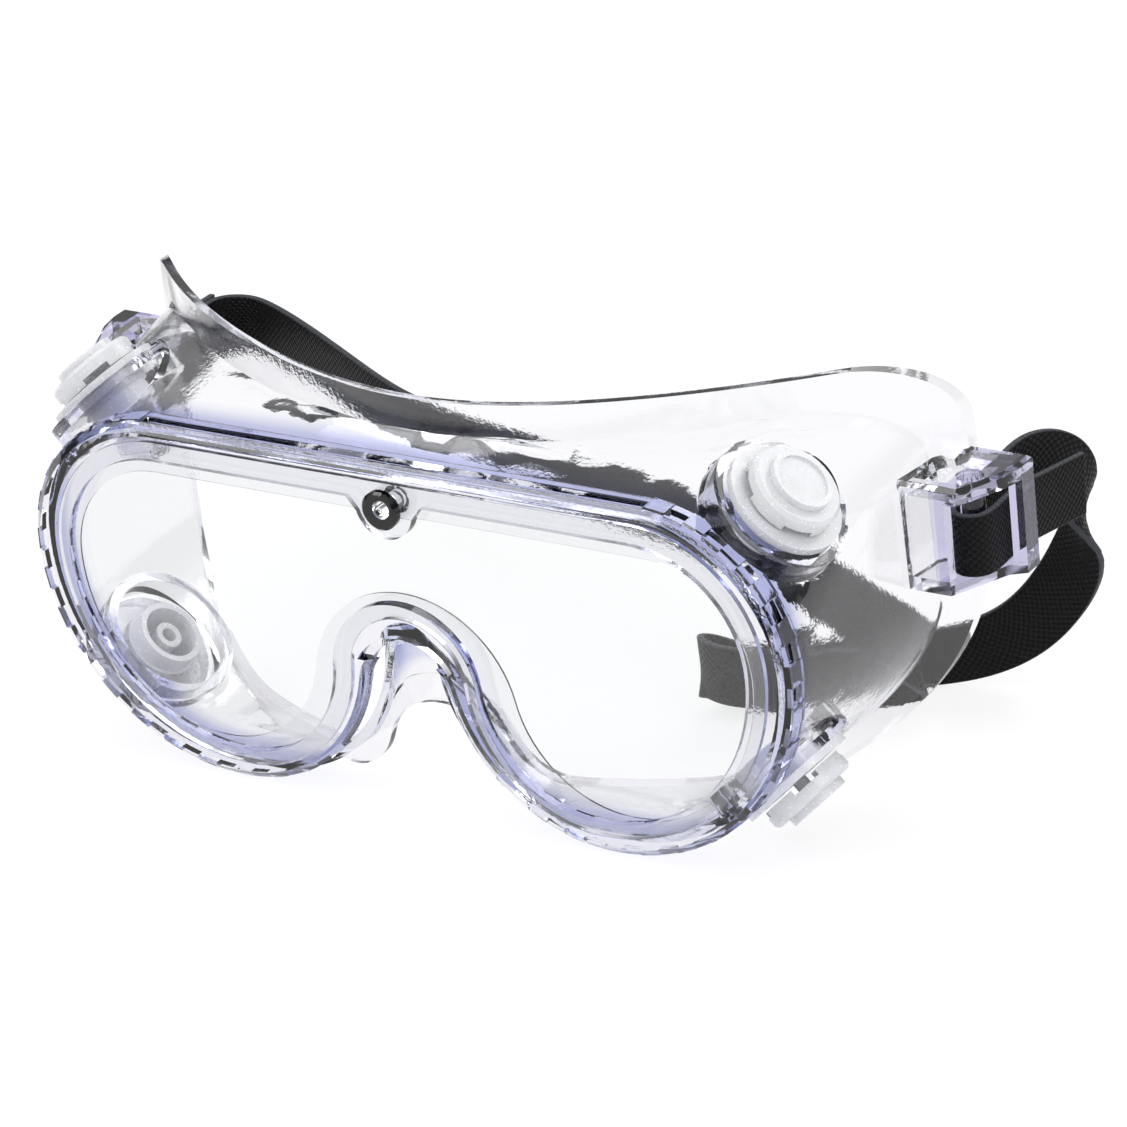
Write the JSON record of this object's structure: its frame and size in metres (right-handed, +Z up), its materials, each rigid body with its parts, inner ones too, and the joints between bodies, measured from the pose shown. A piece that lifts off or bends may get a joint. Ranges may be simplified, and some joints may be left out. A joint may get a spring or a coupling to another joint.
{
  "type": "chemical splash safety goggles",
  "caption": "Clear indirect-vent splash goggles: one-piece soft body with a flat lens, round snap-in vents, side strap lugs and a black elastic head strap.",
  "frame": {"origin": "on the mid-plane, at the foot of the front of the rim: the goggles stand on Z = 0 and the front of the rim is at Y = 0", "axes": "+X towards the wearer's left, +Y towards the back of the head, +Z up along the lens"},
  "size_m": [0.2108, 0.0973, 0.087],
  "materials": {
    "clear_pvc": "soft clear, faint violet tint",
    "clear_lens": "polished clear",
    "clear_button": "polished clear",
    "milky_plastic": "milky satin",
    "black_rubber": "matt, fine knurl"
  },
  "bodies": {
    "goggles": {"goggle_body": "clear_pvc", "lens": "clear_lens", "lens_button": "clear_button", "vent_base_upper_left": "milky_plastic", "vent_base_upper_right": "milky_plastic", "vent_base_lower_left": "milky_plastic", "vent_base_lower_right": "milky_plastic", "head_strap": "black_rubber"},
    "cap_upper_left": {"vent_cap_upper_left": "milky_plastic"},
    "cap_upper_right": {"vent_cap_upper_right": "milky_plastic"},
    "cap_lower_left": {"vent_cap_lower_left": "milky_plastic"},
    "cap_lower_right": {"vent_cap_lower_right": "milky_plastic"}
  },
  "joints": [
    {"name": "vent_upper_left_turn", "type": "hinge", "parent": "goggles", "child": "cap_upper_left", "pos_m": [0.07687, 0.0185, 0.07102], "axis": [0.6691, 0, 0.7431], "continuous": true},
    {"name": "vent_upper_right_turn", "type": "hinge", "parent": "goggles", "child": "cap_upper_right", "pos_m": [-0.07687, 0.0185, 0.07102], "axis": [-0.6691, 0, 0.7431], "continuous": true},
    {"name": "vent_lower_left_turn", "type": "hinge", "parent": "goggles", "child": "cap_lower_left", "pos_m": [0.07381, 0.0185, 0.01418], "axis": [0.7071, 0, -0.7071], "continuous": true},
    {"name": "vent_lower_right_turn", "type": "hinge", "parent": "goggles", "child": "cap_lower_right", "pos_m": [-0.07381, 0.0185, 0.01418], "axis": [-0.7071, 0, -0.7071], "continuous": true}
  ]
}
